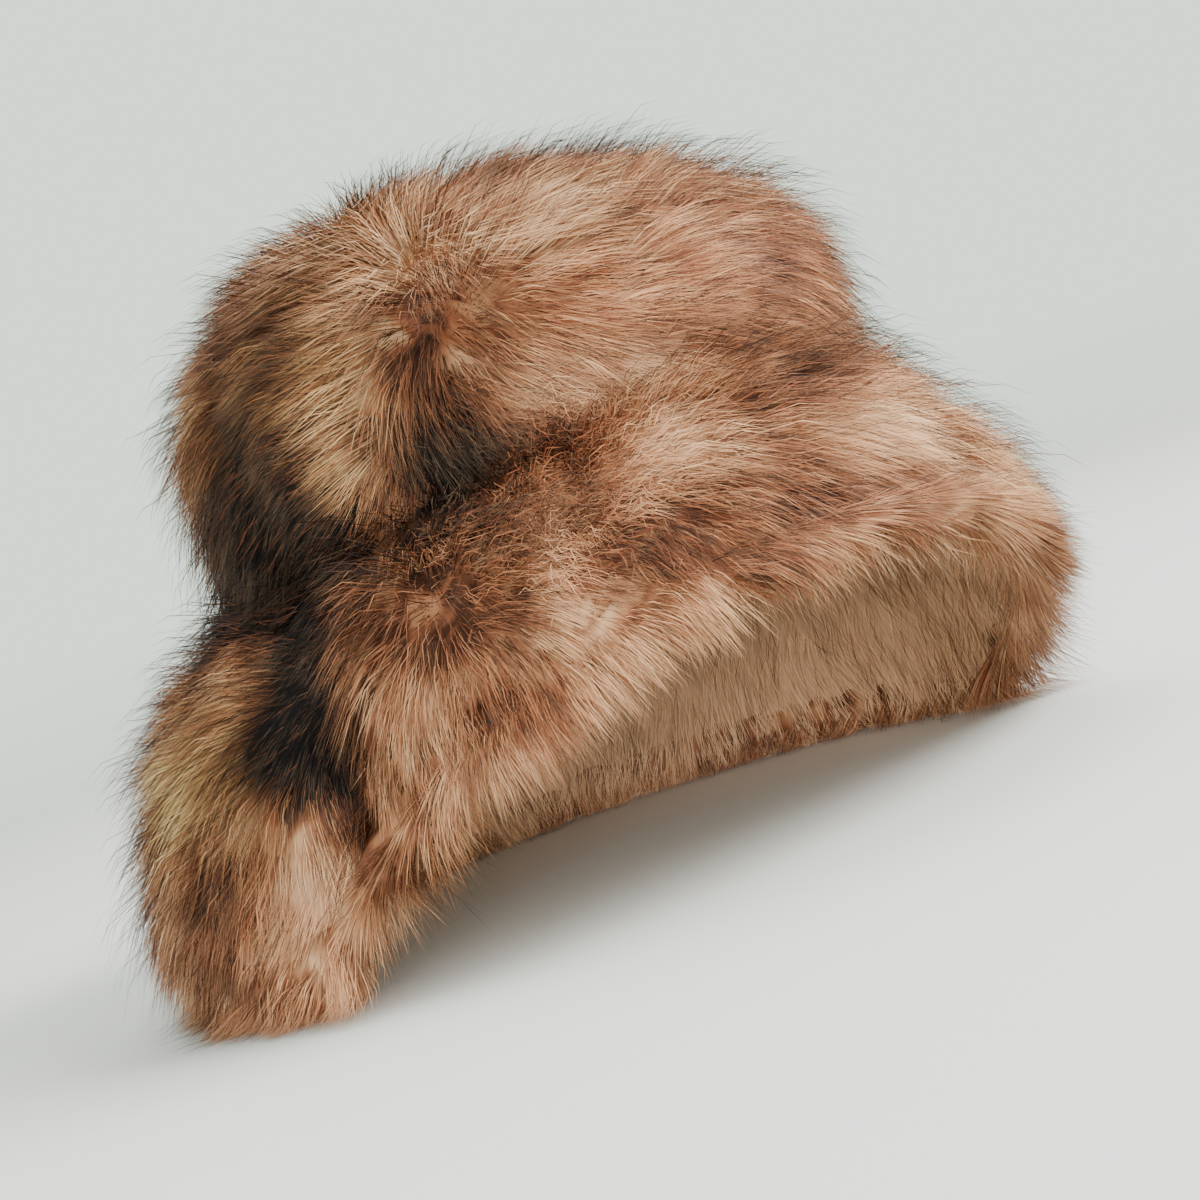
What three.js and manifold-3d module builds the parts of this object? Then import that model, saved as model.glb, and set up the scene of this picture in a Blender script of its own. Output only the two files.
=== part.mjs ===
// A bucket hat of long-pile faux fur, resting on its brim.
// Millimetres, +Z up. Angles are in degrees round the hat: 0 is the front (-Y), 90 the wearer's left (+X).
import * as THREE from 'three';
import { ParametricGeometry } from 'three/addons/geometries/ParametricGeometry.js';
import { mergeVertices } from 'three/addons/utils/BufferGeometryUtils.js';
import Module from 'manifold-3d';

const wasm = await Module();
wasm.setup();

// The head and the cloth
const HEAD_HALF_WIDTH = 82.5;
const HEAD_HALF_LENGTH = 97.5;
const HEAD_EASE = 8;
const CROWN_TOP = 240;
const CROWN_LEAN = -12;
const LEAN_ANGLE = 40;
const CROWN_WALL = 2;
const BRIM_WALL = 1.6;
const GAP = 0.3;
const EDGE_GAP = 0.8;
const SEAM_STEP = 3;

// The pile: depth of the dense under-fur, and how far it reaches past the brim's edge
const CROWN_UNDER_FUR = 16;
const BRIM_TOP_UNDER_FUR = 15;
const BRIM_LOWER_UNDER_FUR = 11;
const FRINGE = 19;
const UNDER_FUR_SINK = 5;

// Where the pile of two panels parts
const PART_REACH = 60;
const SEAM_PART_SLOPE = 0.2;
const TOP_PART_FALL = 0.7;
const TOP_PART_GAP = 0.8;
const ZONE_RADIUS = 260;
const ZONE_HEIGHT = 330;
const MOUTH_CLEARANCE = 2;

// One row for each main section of the brim, going round the hat.
// seamZ: height of the crown and brim seam. edgeR, edgeZ: the cloth's outer edge.
// belly: how far out the brim's middle swells. drop: how soon it falls.
// sweep: how far the pile turns from straight down the slope, in degrees.
const BRIM_ROWS = [
  { angle: -150, seamZ: 131, edgeR: 162, edgeZ: 14, belly: 1.00, drop: 0.34, sweep: -14 },
  { angle: -125, seamZ: 131, edgeR: 164, edgeZ: 13, belly: 1.06, drop: 0.34, sweep: -22 },
  { angle: -97, seamZ: 134, edgeR: 160, edgeZ: 15, belly: 1.02, drop: 0.30, sweep: -20 },
  { angle: -86, seamZ: 136, edgeR: 138, edgeZ: 43, belly: 0.62, drop: 0.26, sweep: 0 },
  { angle: -77, seamZ: 138, edgeR: 152, edgeZ: 64, belly: 1.00, drop: 0.14, sweep: -6 },
  { angle: -62, seamZ: 141, edgeR: 153, edgeZ: 76, belly: 0.98, drop: 0.14, sweep: 16 },
  { angle: -42, seamZ: 144, edgeR: 150, edgeZ: 96, belly: 0.80, drop: 0.18, sweep: 36 },
  { angle: -20, seamZ: 149, edgeR: 150, edgeZ: 99, belly: 0.72, drop: 0.25, sweep: 34 },
  { angle: 5, seamZ: 153, edgeR: 152, edgeZ: 90, belly: 0.62, drop: 0.34, sweep: 22 },
  { angle: 28, seamZ: 154, edgeR: 154, edgeZ: 70, belly: 0.55, drop: 0.44, sweep: 8 },
  { angle: 48, seamZ: 152, edgeR: 155, edgeZ: 40, belly: 0.60, drop: 0.44, sweep: -8 },
  { angle: 70, seamZ: 148, edgeR: 156, edgeZ: 14, belly: 0.80, drop: 0.36, sweep: -14 },
  { angle: 100, seamZ: 142, edgeR: 158, edgeZ: 13, belly: 0.95, drop: 0.32, sweep: 6 },
  { angle: 140, seamZ: 135, edgeR: 160, edgeZ: 13, belly: 1.00, drop: 0.32, sweep: 14 },
  { angle: 175, seamZ: 132, edgeR: 162, edgeZ: 14, belly: 1.00, drop: 0.34, sweep: 4 },
];
const BRIM_STEP = 14;
const BRIM_FALL = 10;
const BRIM_PARTS = 4;

// One row for each section of the crown, from the brim seam to the middle of the top.
// rise: share of the crown's height. spread: share of its radius at the seam.
const CROWN_ROWS = [
  { rise: 0, spread: 1.0 },
  { rise: 0.18, spread: 1.05 },
  { rise: 0.40, spread: 1.06 },
  { rise: 0.60, spread: 0.98 },
  { rise: 0.75, spread: 0.80 },
  { rise: 0.88, spread: 0.54 },
  { rise: 0.965, spread: 0.28 },
  { rise: 1.0, spread: 0 },
];
const TOP_SEAM_ROW = 4;

// One row for each ring of locks. at: place down the panel, as a crown row number or a share of the brim.
// root, middle, tip: heights of the lock above the cloth.
const LOCK_ROWS = [
  { panel: 'crown_top', at: 6.8, count: 3, length: 36, width: 27, root: 6, middle: 18, tip: 20 },
  { panel: 'crown_top', at: 6.1, count: 7, length: 38, width: 27, root: 6, middle: 18, tip: 21 },
  { panel: 'crown_top', at: 5.2, count: 12, length: 36, width: 28, root: 6, middle: 17, tip: 20 },
  { panel: 'crown_side', at: 4.0, count: 15, length: 34, width: 28, root: 6, middle: 17, tip: 19 },
  { panel: 'crown_side', at: 2.8, count: 15, length: 36, width: 28, root: 6, middle: 18, tip: 21 },
  { panel: 'crown_side', at: 1.6, count: 15, length: 36, width: 28, root: 6, middle: 18, tip: 21 },
  { panel: 'brim_top', at: 0.14, count: 15, length: 36, width: 28, root: 5, middle: 17, tip: 20 },
  { panel: 'brim_top', at: 0.43, count: 17, length: 36, width: 29, root: 5, middle: 17, tip: 20 },
  { panel: 'brim_top', at: 0.73, count: 20, length: 36, width: 29, root: 5, middle: 16, tip: 18 },
  { panel: 'brim_top', at: 0.98, count: 26, length: 29, width: 27, root: 4, middle: 12, tip: 11 },
  { panel: 'brim_under', at: 0.47, count: 14, length: 36, width: 28, root: -3, middle: -14, tip: -18 },
  { panel: 'brim_under', at: 0.75, count: 15, length: 36, width: 28, root: -3, middle: -13, tip: -16 },
  { panel: 'brim_under', at: 0.97, count: 20, length: 32, width: 25, root: -3, middle: -8, tip: -9 },
];
const LOCK_SIDES = 3;
const LOCK_BENDS = 2;
const LOCK_FLATNESS = 0.42;
const LOCK_ROOT_FULLNESS = 0.75;
const LOCK_MIDDLE_FULLNESS = 2.1;
const LOCK_SWAY = 16;
const LOCK_SPREAD = 0.35;
const LOCK_STAGGER = 0.06;
const LOCK_VARIETY = 0.15;
const LOCK_DROOP = 4;

const radians = THREE.MathUtils.degToRad;
const degrees = THREE.MathUtils.radToDeg;
const lerp = THREE.MathUtils.lerp;

// A repeatable number from 0 to 1 for each lock
function scatter(index, salt) {
  const wave = Math.sin(index * 12.9898 + salt * 78.233) * 43758.5453;
  return wave - Math.floor(wave);
}

function rowSpan(index) {
  const next = BRIM_ROWS[(index + 1) % BRIM_ROWS.length].angle;
  return THREE.MathUtils.euclideanModulo(next - BRIM_ROWS[index].angle, 360);
}

// The brim's rows as closed smooth curves round the hat
const shapeCurve = new THREE.CatmullRomCurve3(
  BRIM_ROWS.map((row) => new THREE.Vector3(row.seamZ, row.edgeR, row.edgeZ)), true, 'catmullrom');
const swellCurve = new THREE.CatmullRomCurve3(
  BRIM_ROWS.map((row) => new THREE.Vector3(row.belly, row.drop, row.sweep)), true, 'catmullrom');
const crownCurve = new THREE.SplineCurve(
  CROWN_ROWS.map((row) => new THREE.Vector2(row.rise, row.spread)));

function brimRow(angle) {
  const turned = THREE.MathUtils.euclideanModulo(angle - BRIM_ROWS[0].angle, 360);
  let index = 0;
  let start = 0;
  while (start + rowSpan(index) <= turned) {
    start += rowSpan(index);
    index += 1;
  }
  const share = (index + (turned - start) / rowSpan(index)) / BRIM_ROWS.length;
  const shape = shapeCurve.getPoint(share);
  const swell = swellCurve.getPoint(share);
  return { seamZ: shape.x, edgeR: shape.y, edgeZ: shape.z, belly: swell.x, drop: swell.y, sweep: swell.z };
}

// The angles of the sections that every panel shares, closer where the edge climbs
const ANGLES = BRIM_ROWS.flatMap((row, index) => {
  const climb = Math.abs(BRIM_ROWS[(index + 1) % BRIM_ROWS.length].edgeZ - row.edgeZ);
  const steps = Math.ceil(Math.max(rowSpan(index) / BRIM_STEP, climb / BRIM_FALL));
  return Array.from({ length: steps }, (_, step) => row.angle + rowSpan(index) * step / steps);
});

function clothRadius(angle) {
  const across = Math.sin(radians(angle)) / HEAD_HALF_WIDTH;
  const along = Math.cos(radians(angle)) / HEAD_HALF_LENGTH;
  return 1 / Math.hypot(across, along) + HEAD_EASE;
}

function polar(radius, angle, height) {
  return new THREE.Vector3(radius * Math.sin(radians(angle)), -radius * Math.cos(radians(angle)), height);
}

// A point of the crown: row counts the crown's sections, height is measured out of the cloth
function crownPoint(angle, row, height) {
  const last = CROWN_ROWS.length - 1;
  const share = THREE.MathUtils.clamp(row, 0, last) / last;
  const base = brimRow(angle).seamZ + SEAM_STEP;
  const span = CROWN_TOP - base;
  const place = crownCurve.getPoint(share);
  const normal = new THREE.Vector2(0, 1);
  if (share < 1) {
    const slope = crownCurve.getTangent(share);
    normal.set(slope.x * span, -slope.y * clothRadius(angle)).normalize();
  }
  const hang = Math.min(row, 0) * span / last;
  const radius = clothRadius(angle) * place.y + normal.x * height;
  const point = polar(radius, angle, base + span * place.x + normal.y * height + hang);
  return point.add(polar(CROWN_LEAN * place.x, LEAN_ANGLE, 0));
}

function brimLength(row, angle) {
  return Math.hypot(row.edgeR - clothRadius(angle), row.seamZ - row.edgeZ);
}

// A point of the brim: share runs from the seam, 0, to the edge, 1, and past it in a straight line
function brimPoint(angle, share, height) {
  const row = brimRow(angle);
  const seamR = clothRadius(angle) - CROWN_WALL;
  const middle = new THREE.Vector2(
    lerp(seamR, row.edgeR, row.belly), lerp(row.seamZ, row.edgeZ, row.drop));
  const curve = new THREE.QuadraticBezierCurve(
    new THREE.Vector2(seamR, row.seamZ), middle, new THREE.Vector2(row.edgeR, row.edgeZ));
  const inside = THREE.MathUtils.clamp(share, 0, 1);
  const place = curve.getPoint(inside);
  const slope = curve.getTangent(inside);
  place.addScaledVector(slope, (share - inside) * brimLength(row, angle));
  return polar(place.x - slope.y * height, angle, place.y + slope.x * height);
}

function pastEdge(angle, reach) {
  return 1 + reach / brimLength(brimRow(angle), angle);
}

// A closed solid from a geometry with its shared vertices merged
function toSolid(geometry) {
  geometry.deleteAttribute('normal');
  geometry.deleteAttribute('uv');
  const merged = mergeVertices(geometry, 1e-4);
  const vertProperties = new Float32Array(merged.attributes.position.array);
  const corners = merged.index.array;
  const kept = [];
  let volume = 0;
  const [a, b, c] = [new THREE.Vector3(), new THREE.Vector3(), new THREE.Vector3()];
  for (let i = 0; i < corners.length; i += 3) {
    const [ia, ib, ic] = [corners[i], corners[i + 1], corners[i + 2]];
    if (ia !== ib && ib !== ic && ic !== ia) {
      kept.push(ia, ib, ic);
      a.fromArray(vertProperties, ia * 3);
      b.fromArray(vertProperties, ib * 3);
      c.fromArray(vertProperties, ic * 3);
      volume += a.dot(b.cross(c));
    }
  }
  if (volume < 0) kept.reverse();
  return new wasm.Manifold(new wasm.Mesh({ numProp: 3, vertProperties, triVerts: new Uint32Array(kept) }));
}

// A ring whose closed outline at each angle is given by a function
function ringSolid(outline, angles = ANGLES) {
  const loops = angles.map(outline);
  const count = loops[0].length;
  const wrap = (u, v, target) => {
    const loop = loops[Math.round(u * loops.length) % loops.length];
    target.copy(loop[Math.round(v * count) % count]);
  };
  return toSolid(new ParametricGeometry(wrap, loops.length, count));
}

// Points along a panel at one angle, from one place to another
function run(pointAt, angle, from, to, parts, height) {
  return Array.from({ length: parts + 1 }, (_, i) => pointAt(angle, lerp(from, to, i / parts), height));
}

const LAST_ROW = CROWN_ROWS.length - 1;
const TOP_PARTS = LAST_ROW - TOP_SEAM_ROW;
const TOP_SEAM_SLIT = 0.02;

function wall(pointAt, from, to, parts, outer, inner) {
  return ringSolid((angle) => [
    ...run(pointAt, angle, from, to, parts, outer),
    ...run(pointAt, angle, to, from, parts, inner),
  ]);
}

// The line from the crown's top seam outwards, along which the top's pile lies over the side's
function topParting(angle, height) {
  const start = crownPoint(angle, TOP_SEAM_ROW, height);
  const end = crownPoint(angle, TOP_SEAM_ROW, PART_REACH);
  end.z -= PART_REACH * TOP_PART_FALL;
  return [start, end];
}

// The line from the brim seam outwards, in the crease between crown and brim
function seamParting(angle, lift) {
  const start = polar(clothRadius(angle) + GAP, angle, brimRow(angle).seamZ + lift);
  const end = polar(clothRadius(angle) + PART_REACH, angle, start.z + PART_REACH * SEAM_PART_SLOPE);
  return [start, end];
}

// The outer face of the brim's cloth, and where its pile starts, above the sheet between its two panels
const BRIM_FACE = BRIM_WALL + GAP / 2;
const BRIM_CLEAR = BRIM_FACE + GAP;

// The space that each panel's pile may fill
const zones = {
  crown_top: () => ringSolid((angle) => {
    const [start, end] = topParting(angle, GAP);
    start.z += TOP_PART_GAP;
    end.z += TOP_PART_GAP;
    return [
      start,
      ...run(crownPoint, angle, TOP_SEAM_ROW + TOP_SEAM_SLIT, LAST_ROW, TOP_PARTS, GAP),
      polar(0, angle, ZONE_HEIGHT),
      polar(ZONE_RADIUS, angle, ZONE_HEIGHT),
      end,
    ];
  }),
  crown_side: () => ringSolid((angle) => [
    ...run(crownPoint, angle, 0, TOP_SEAM_ROW, TOP_SEAM_ROW, GAP),
    topParting(angle, GAP)[1],
    seamParting(angle, SEAM_STEP)[1],
  ]),
  brim_top: () => ringSolid((angle) => {
    const [seamStart, seamEnd] = seamParting(angle, SEAM_STEP - GAP);
    return [
      ...run(brimPoint, angle, 0, 1, BRIM_PARTS, BRIM_CLEAR),
      brimPoint(angle, pastEdge(angle, EDGE_GAP), BRIM_CLEAR),
      brimPoint(angle, pastEdge(angle, EDGE_GAP), GAP),
      brimPoint(angle, pastEdge(angle, PART_REACH), GAP),
      polar(ZONE_RADIUS, angle, 0),
      seamEnd,
      seamStart,
      polar(clothRadius(angle) - CROWN_WALL, angle, seamStart.z),
    ];
  }),
  brim_under: () => ringSolid((angle) => {
    const mouth = clothRadius(angle) - MOUTH_CLEARANCE;
    return [
      ...run(brimPoint, angle, 0, 1, BRIM_PARTS, -BRIM_CLEAR),
      brimPoint(angle, pastEdge(angle, EDGE_GAP), -BRIM_CLEAR),
      brimPoint(angle, pastEdge(angle, EDGE_GAP), -GAP),
      brimPoint(angle, pastEdge(angle, PART_REACH), -GAP),
      polar(mouth, angle, -PART_REACH),
    ];
  }),
};

// The dense under-fur that carries each panel's locks, in coarser facets
const FUR_ANGLES = ANGLES.filter((_, index) => index % 2 === 0);
const FUR_PARTS = 3;

function underFur(pointAt, from, to, height, tip) {
  return ringSolid((angle) => [
    ...run(pointAt, angle, from, to, FUR_PARTS, height),
    ...tip(angle),
    ...run(pointAt, angle, to, from, FUR_PARTS, -Math.sign(height) * UNDER_FUR_SINK),
  ], FUR_ANGLES);
}

function fringe(height) {
  return (angle) => [brimPoint(angle, pastEdge(angle, FRINGE), height)];
}

const underFurs = {
  crown_top: () => underFur(crownPoint, TOP_SEAM_ROW - 1, LAST_ROW, CROWN_UNDER_FUR, () => []),
  crown_side: () => underFur(crownPoint, 0, TOP_SEAM_ROW + 1, CROWN_UNDER_FUR, () => []),
  brim_top: () => underFur(brimPoint, 0, 1, BRIM_TOP_UNDER_FUR, fringe(1)),
  brim_under: () => underFur(brimPoint, 0, 1, -BRIM_LOWER_UNDER_FUR, fringe(-1)),
};

// Where a lock goes as it follows the pile: distance is measured along it
function lockPoint(row, place, distance, height) {
  const down = distance * Math.cos(radians(place.sweep));
  const turn = degrees(distance * Math.sin(radians(place.sweep)) / place.radius);
  const angle = place.angle + turn;
  if (row.panel.startsWith('crown')) {
    return crownPoint(angle, place.at - down / place.rowLength, height);
  }
  return brimPoint(angle, place.at + down / brimLength(brimRow(angle), angle), height);
}

// One tapering lock of pile: a cone bent along the way that the pile lies
function lockSolid(row, place) {
  const cone = new THREE.ConeGeometry(1, 1, LOCK_SIDES, LOCK_BENDS);
  const heights = new THREE.QuadraticBezierCurve(
    new THREE.Vector2(0, row.root), new THREE.Vector2(0, row.middle * 2 - (row.root + row.tip) / 2),
    new THREE.Vector2(0, row.tip));
  const spine = (share, extra) => {
    const height = heights.getPoint(share).y + extra;
    const point = lockPoint(row, place, share * place.length, height);
    point.z -= LOCK_DROOP * share * share;
    return point;
  };
  const { position } = cone.attributes;
  for (let i = 0; i < position.count; i += 1) {
    const share = THREE.MathUtils.clamp(position.getY(i) + 0.5, 0, 1);
    const centre = spine(share, 0);
    const up = spine(share, Math.sign(row.tip)).sub(centre).normalize();
    const ahead = spine(share + 0.05, 0).sub(centre);
    const side = new THREE.Vector3().crossVectors(ahead, up).normalize();
    const fullness = LOCK_ROOT_FULLNESS + LOCK_MIDDLE_FULLNESS * share;
    const across = position.getX(i) * fullness * place.width / 2;
    const thick = position.getZ(i) * fullness * LOCK_FLATNESS * place.width / 2;
    centre.addScaledVector(side, across).addScaledVector(up, thick);
    position.setXYZ(i, centre.x, centre.y, centre.z);
  }
  return toSolid(cone);
}

// Where one lock of a ring is rooted, with its own turn, length and width
function lockPlace(row, rowIndex, i) {
  const seed = rowIndex * 100 + i;
  const vary = (salt, share) => 1 + share * (scatter(seed, salt) * 2 - 1);
  const angle = 360 / row.count * (i + (rowIndex % 2) / 2 + LOCK_SPREAD * (scatter(seed, 1) - 0.5));
  const at = row.at + LOCK_STAGGER * (scatter(seed, 2) - 0.5);
  const pointAt = row.panel.startsWith('crown') ? crownPoint : brimPoint;
  const root = pointAt(angle, at, 0);
  return {
    angle,
    at,
    sweep: brimRow(angle).sweep + LOCK_SWAY * (scatter(seed, 3) * 2 - 1),
    length: row.length * vary(4, LOCK_VARIETY),
    width: row.width * vary(5, LOCK_VARIETY),
    radius: Math.max(Math.hypot(root.x, root.y), row.length),
    rowLength: crownPoint(angle, at - 0.5, 0).distanceTo(crownPoint(angle, at + 0.5, 0)),
  };
}

function addLocks(underFur, panel) {
  let fur = underFur;
  LOCK_ROWS.forEach((row, rowIndex) => {
    if (row.panel !== panel) return;
    for (let i = 0; i < row.count; i += 1) fur = fur.add(lockSolid(row, lockPlace(row, rowIndex, i)));
  });
  return fur;
}

// The largest body of a solid, without the loose tips that trimming leaves
function mainBody(solid) {
  return solid.decompose().reduce((best, piece) => (piece.volume() > best.volume() ? piece : best));
}

const aboveFloor = toSolid(
  new THREE.BoxGeometry(ZONE_RADIUS * 3, ZONE_RADIUS * 3, ZONE_HEIGHT * 2).translate(0, 0, ZONE_HEIGHT));

function pile(panel) {
  const grown = addLocks(underFurs[panel](), panel);
  return mainBody(grown.intersect(zones[panel]()).intersect(aboveFloor));
}

function toMesh(name, solid, material) {
  const { vertProperties, triVerts } = solid.getMesh();
  const geometry = new THREE.BufferGeometry();
  geometry.setAttribute('position', new THREE.BufferAttribute(new Float32Array(vertProperties), 3));
  geometry.setIndex(new THREE.BufferAttribute(new Uint32Array(triVerts), 1));
  geometry.computeVertexNormals();
  const mesh = new THREE.Mesh(geometry, new THREE.MeshStandardMaterial(material));
  mesh.name = name;
  return mesh;
}

const BACKING = { color: 0x5f4a3b, roughness: 0.95, metalness: 0 };
const TAN_PILE = { color: 0xb28c6c, roughness: 0.9, metalness: 0 };
const RUST_PILE = { color: 0x9c6c50, roughness: 0.9, metalness: 0 };

const cloths = {
  crown_top: () => wall(crownPoint, TOP_SEAM_ROW + TOP_SEAM_SLIT, LAST_ROW, TOP_PARTS, 0, -CROWN_WALL),
  crown_side: () => wall(crownPoint, 0, TOP_SEAM_ROW, TOP_SEAM_ROW, 0, -CROWN_WALL),
  brim_top: () => wall(brimPoint, 0, 1, BRIM_PARTS, BRIM_FACE, GAP / 2),
  brim_under: () => wall(brimPoint, 0, 1, BRIM_PARTS, -BRIM_FACE, -GAP / 2),
};

const hat = new THREE.Group();
hat.add(
  toMesh('crown_top_cloth', cloths.crown_top(), BACKING),
  toMesh('crown_side_cloth', cloths.crown_side(), BACKING),
  toMesh('brim_top_cloth', cloths.brim_top(), BACKING),
  toMesh('brim_under_cloth', cloths.brim_under(), BACKING),
  toMesh('crown_top_fur', pile('crown_top'), TAN_PILE),
  toMesh('crown_side_fur', pile('crown_side'), TAN_PILE),
  toMesh('brim_top_fur', pile('brim_top'), TAN_PILE),
  toMesh('brim_under_fur', pile('brim_under'), RUST_PILE),
);

// The origin is on the floor, under the middle of the hat's box
const middle = new THREE.Box3().setFromObject(hat).getCenter(new THREE.Vector3());
hat.position.set(-middle.x, -middle.y, 0);

export default hat;
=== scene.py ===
import math

import bpy
import numpy as np
from mathutils import Matrix, Vector
from mathutils.kdtree import KDTree


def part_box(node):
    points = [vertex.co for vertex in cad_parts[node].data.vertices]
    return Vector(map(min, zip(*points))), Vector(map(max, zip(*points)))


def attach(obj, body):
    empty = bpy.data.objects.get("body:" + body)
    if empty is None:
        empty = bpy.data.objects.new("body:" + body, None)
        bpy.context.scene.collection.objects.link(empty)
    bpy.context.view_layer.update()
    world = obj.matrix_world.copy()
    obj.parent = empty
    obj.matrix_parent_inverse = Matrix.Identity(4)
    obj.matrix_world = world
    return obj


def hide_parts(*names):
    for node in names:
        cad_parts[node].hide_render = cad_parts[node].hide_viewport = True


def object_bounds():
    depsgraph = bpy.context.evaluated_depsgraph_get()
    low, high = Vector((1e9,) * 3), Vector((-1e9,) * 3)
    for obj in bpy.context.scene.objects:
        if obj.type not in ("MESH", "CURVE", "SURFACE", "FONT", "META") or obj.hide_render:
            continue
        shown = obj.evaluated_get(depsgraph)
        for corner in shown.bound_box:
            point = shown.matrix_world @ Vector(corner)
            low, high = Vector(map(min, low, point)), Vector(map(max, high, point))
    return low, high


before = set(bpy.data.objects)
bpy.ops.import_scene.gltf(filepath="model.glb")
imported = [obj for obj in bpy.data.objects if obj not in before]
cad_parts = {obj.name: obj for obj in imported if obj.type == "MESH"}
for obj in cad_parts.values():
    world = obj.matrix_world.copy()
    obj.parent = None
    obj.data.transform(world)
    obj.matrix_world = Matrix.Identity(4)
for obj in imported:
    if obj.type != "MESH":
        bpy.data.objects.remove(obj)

# A long-pile faux fur bucket hat. Metres. Angles are in degrees round the hat:
# 0 is the front (-Y), 90 the wearer's left (+X).
CAD_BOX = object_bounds()
MM = 0.001
random = np.random.default_rng(seed=4)

# How far the pile turns from straight down the slope at each angle round the hat, in degrees
SWEEP_ANGLES = (-150, -125, -97, -86, -77, -62, -42, -20, 5, 28, 48, 70, 100, 140, 175)
SWEEP_DEGREES = (-14, -26, -24, -4, -2, 20, 50, 60, 48, 22, -8, -14, 6, 14, 4)

# One row for each panel's pile. cloth: the node it grows from. fur: the CAD fur that it stands for.
# face: 1 for the outer or upper face of the cloth, -1 for the under face. strands: how many.
# length: of a hair, in mm. rise: how steeply it stands. sweep: share of the turn above.
# parts: joined meshes that the panel's pile is made as, side by side round the hat.
PILES = (
    dict(panel="crown_top", cloth="crown_top_cloth", fur="crown_top_fur", face=1, slot="tan_pile",
         strands=32000, length=33, rise=0.50, sweep=0.6, parts=1),
    dict(panel="crown_side", cloth="crown_side_cloth", fur="crown_side_fur", face=1, slot="tan_pile",
         strands=54000, length=34, rise=0.50, sweep=0.85, parts=2),
    dict(panel="brim_top", cloth="brim_top_cloth", fur="brim_top_fur", face=1, slot="tan_pile",
         strands=86000, length=34, rise=0.47, sweep=1.0, parts=2),
    dict(panel="brim_under", cloth="brim_under_cloth", fur="brim_under_fur", face=-1, slot="rust_pile",
         strands=32000, length=28, rise=0.42, sweep=0.6, parts=1),
)
# Long dark guard hairs, and curled hairs before the patches thin them out, for each hair of the pile
GUARD_SHARE = 0.14
CURL_SHARE = 0.9
FRINGE_HAIRS = 24000
FRINGE_GUARD_HAIRS = 3200
# How wide each kind of hair is at its root
WIDTHS = dict(pile=0.32 * MM, guard_hair=0.24 * MM, curls=0.26 * MM, fringe=0.31 * MM,
              fringe_guard_hair=0.17 * MM)


def patch(at, size, light=0.0, red=0.0, curl=0.0, short=0.0, lift=0.0):
    """Where the pile differs. at: the angle round the hat and the height in mm. size: the degrees and
    mm that it fades over. light: paler, or darker below 0; in some patches this is painted light or
    painted shade. red: rustier, or greener below 0, where the green is mostly a painted green cast of
    the light. curl: matted. short: shorter. lift: steeper."""
    return dict(angle=at[0], height=at[1], wide=size[0], tall=size[1],
                light=light, red=red, curl=curl, short=short, lift=lift)


PATCHES = dict(
    # Painted shade: the crease between the near and the back lobe, and its foot, are darkened as shade falls
    # there.
    valley_painted_shade=patch(at=(-90, 97), size=(9, 26), light=-1.5, short=0.45),
    valley_foot_painted_shade=patch(at=(-85, 62), size=(5, 18), light=-0.45, red=0.2, short=0.30),
    seam_shade=patch(at=(-108, 146), size=(27, 23), light=-1.6, red=-0.2, short=0.05, lift=0.1),
    near_shade=patch(at=(-62, 153), size=(10, 14), light=-1.5, red=0.2, curl=0.2, short=0.15),
    matted=patch(at=(-43, 148), size=(13, 14), light=-0.20, red=0.8, curl=1, short=0.35, lift=0.1),
    curled_brim=patch(at=(-49, 118), size=(13, 14), light=-0.05, red=0.35, curl=0.8, short=0.2, lift=0.1),
    crown_pale=patch(at=(-28, 226), size=(17, 13), light=0.38, red=-0.1),
    crown_rust=patch(at=(-30, 190), size=(18, 16), light=0.12, red=0.55),
    crown_front=patch(at=(6, 180), size=(26, 24), light=-0.08, red=0.5),
    crown_streak=patch(at=(-54, 193), size=(8, 12), light=-0.15, red=0.3),
    side_tuft=patch(at=(-80, 160), size=(9, 12), light=0.40, red=-0.2, lift=0.1),
    # Darker pile, with painted shade and a painted green cast on the crown's shaded left side.
    crown_dark_and_shade=patch(at=(-87, 207), size=(14, 20), light=-0.55, red=-0.5),
    # Painted shade with a painted green cast on the shaded left side of the crown.
    side_painted_green_shade=patch(at=(-96, 180), size=(26, 38), light=-0.28, red=-0.8),
    # Paler pile, partly painted light where the front of the brim faces the light.
    brim_pale_and_lit=patch(at=(-3, 120), size=(13, 12), light=0.85, red=-0.1),
    brim_tuft=patch(at=(-31, 140), size=(4, 9), light=0.55, lift=0.15),
    lobe_pale=patch(at=(-63, 86), size=(5, 18), light=0.05, red=0.25, lift=0.1),
    lobe_rust=patch(at=(-57, 74), size=(5, 14), light=-0.05, red=0.6),
    # Painted green light: the back lobe is tinted olive, as greenish light falls on it from the left and
    # below. Its hair also stands steeper.
    back_painted_green_light=patch(at=(-112, 84), size=(21, 24), light=0.06, red=-1.1, lift=0.2),
    back_dark=patch(at=(-108, 48), size=(8, 8), light=-0.40, lift=0.1),
    brim_front=patch(at=(-24, 108), size=(20, 14), light=-0.28, red=0.35),
    # Paler pile, partly painted light where the brim's front tip faces the light.
    brim_tip_pale_and_lit=patch(at=(22, 88), size=(15, 17), light=0.55, red=-0.1),
    far_shoulder=patch(at=(98, 222), size=(42, 24), red=0.1, short=0.42, lift=-0.1),
    back_foot=patch(at=(-94, 28), size=(9, 18), light=0.10, red=0.3, lift=0.1),
)

# Where the pile fans out from a point: its angle, height and reach in mm
FANS = (
    dict(cloth="crown_side_cloth", angle=-51, height=208, reach=56, strength=1.5),
    dict(cloth="crown_side_cloth", angle=-70, height=166, reach=34, strength=1.4),
    dict(cloth="brim_top_cloth", angle=-62, height=100, reach=34, strength=1.4),
    dict(cloth="brim_top_cloth", angle=-90, height=84, reach=38, strength=1.1),
)


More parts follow.
